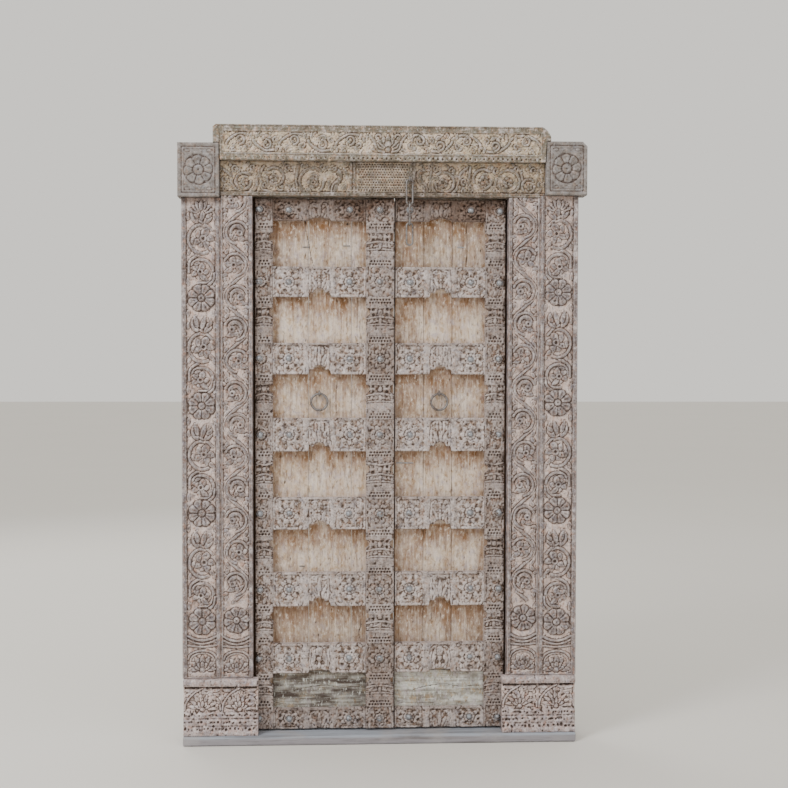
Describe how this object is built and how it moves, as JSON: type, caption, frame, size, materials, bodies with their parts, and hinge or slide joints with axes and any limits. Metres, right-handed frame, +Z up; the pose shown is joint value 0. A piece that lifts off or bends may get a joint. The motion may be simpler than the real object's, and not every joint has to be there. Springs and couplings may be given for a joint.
{
  "type": "carved double door with frame",
  "caption": "Carved timber double door in its carved frame: two pivot-hung leaves with bossed rails, pull rings and a hanging door chain.",
  "frame": {"origin": "centre of the sill's underside", "axes": "+X to the viewer's right, +Y away from the viewer into the building, +Z up"},
  "size_m": [1.404, 0.23, 2.13],
  "materials": {
    "sill_wood": "weathered blue-grey timber, worn smooth",
    "lintel_wood": "limewashed sand-coloured carved timber",
    "block_wood": "lilac-grey weathered timber",
    "frame_wood": "pinkish limewashed carved timber",
    "leaf_wood": "brown-grey carved timber with rubbed limewash",
    "panel_wood": "pale tan planks with orange-brown stains",
    "plain_wood": "sawn brown timber",
    "peg_wood": "whittled timber peg",
    "iron": "hand-forged iron, blue-grey, lightly rusted"
  },
  "bodies": {
    "frame": {"sill": "sill_wood", "lower_lintel": "lintel_wood", "upper_lintel": "lintel_wood", "head_beam": "plain_wood", "frame_pegs": "peg_wood", "left_outer_pilaster": "frame_wood", "left_inner_jamb": "frame_wood", "left_outer_plinth": "frame_wood", "left_inner_plinth": "frame_wood", "left_corner_block": "block_wood", "left_back_post": "plain_wood", "right_outer_pilaster": "frame_wood", "right_inner_jamb": "frame_wood", "right_outer_plinth": "frame_wood", "right_inner_plinth": "frame_wood", "right_corner_block": "block_wood", "right_back_post": "plain_wood", "chain_staple": "iron"},
    "left_leaf": {"centre_stile": "leaf_wood", "left_plank_1": "panel_wood", "left_plank_2": "panel_wood", "left_plank_3": "panel_wood", "left_rail_1": "leaf_wood", "left_rail_2": "leaf_wood", "left_rail_3": "leaf_wood", "left_rail_4": "leaf_wood", "left_rail_5": "leaf_wood", "left_rail_6": "leaf_wood", "left_rail_7": "leaf_wood", "left_rail_8": "leaf_wood", "left_bottom_board": "panel_wood", "left_hanging_stile": "leaf_wood", "left_battens": "plain_wood", "left_pivots": "iron", "left_bosses": "iron", "left_cramps": "iron", "left_ring_staple": "iron"},
    "right_leaf": {"right_plank_1": "panel_wood", "right_plank_2": "panel_wood", "right_plank_3": "panel_wood", "right_rail_1": "leaf_wood", "right_rail_2": "leaf_wood", "right_rail_3": "leaf_wood", "right_rail_4": "leaf_wood", "right_rail_5": "leaf_wood", "right_rail_6": "leaf_wood", "right_rail_7": "leaf_wood", "right_rail_8": "leaf_wood", "right_bottom_board": "panel_wood", "right_hanging_stile": "leaf_wood", "right_battens": "plain_wood", "right_pivots": "iron", "right_bosses": "iron", "right_cramps": "iron", "right_ring_staple": "iron"},
    "left_ring": {"left_ring": "iron"},
    "right_ring": {"right_ring": "iron"},
    "chain_link_1": {"chain_link_1": "iron"},
    "chain_link_2": {"chain_link_2": "iron"},
    "chain_link_3": {"chain_link_3": "iron"}
  },
  "joints": [
    {"name": "left_leaf_swing", "type": "hinge", "parent": "frame", "child": "left_leaf", "pos_m": [-0.419, -0.008, 1], "axis": [0, 0, 1], "range_deg": [0, 90]},
    {"name": "right_leaf_swing", "type": "hinge", "parent": "frame", "child": "right_leaf", "pos_m": [0.419, -0.008, 1], "axis": [0, 0, -1], "range_deg": [0, 90]},
    {"name": "left_ring_swing", "type": "hinge", "parent": "left_leaf", "child": "left_ring", "pos_m": [-0.213, -0.033, 1.2112], "axis": [-1, 0, 0], "range_deg": [-4, 95]},
    {"name": "right_ring_swing", "type": "hinge", "parent": "right_leaf", "child": "right_ring", "pos_m": [0.206, -0.033, 1.2112], "axis": [-1, 0, 0], "range_deg": [-4, 95]},
    {"name": "chain_top_swing", "type": "hinge", "parent": "frame", "child": "chain_link_1", "pos_m": [0.097, -0.096, 1.9484], "axis": [-1, 0, 0], "range_deg": [-2, 60]},
    {"name": "chain_middle_swing", "type": "hinge", "parent": "chain_link_1", "child": "chain_link_2", "pos_m": [0.097, -0.096, 1.8603], "axis": [-1, 0, 0], "range_deg": [-10, 45]},
    {"name": "chain_end_swing", "type": "hinge", "parent": "chain_link_2", "child": "chain_link_3", "pos_m": [0.097, -0.096, 1.7887], "axis": [0, 1, 0], "range_deg": [-40, 40]}
  ]
}
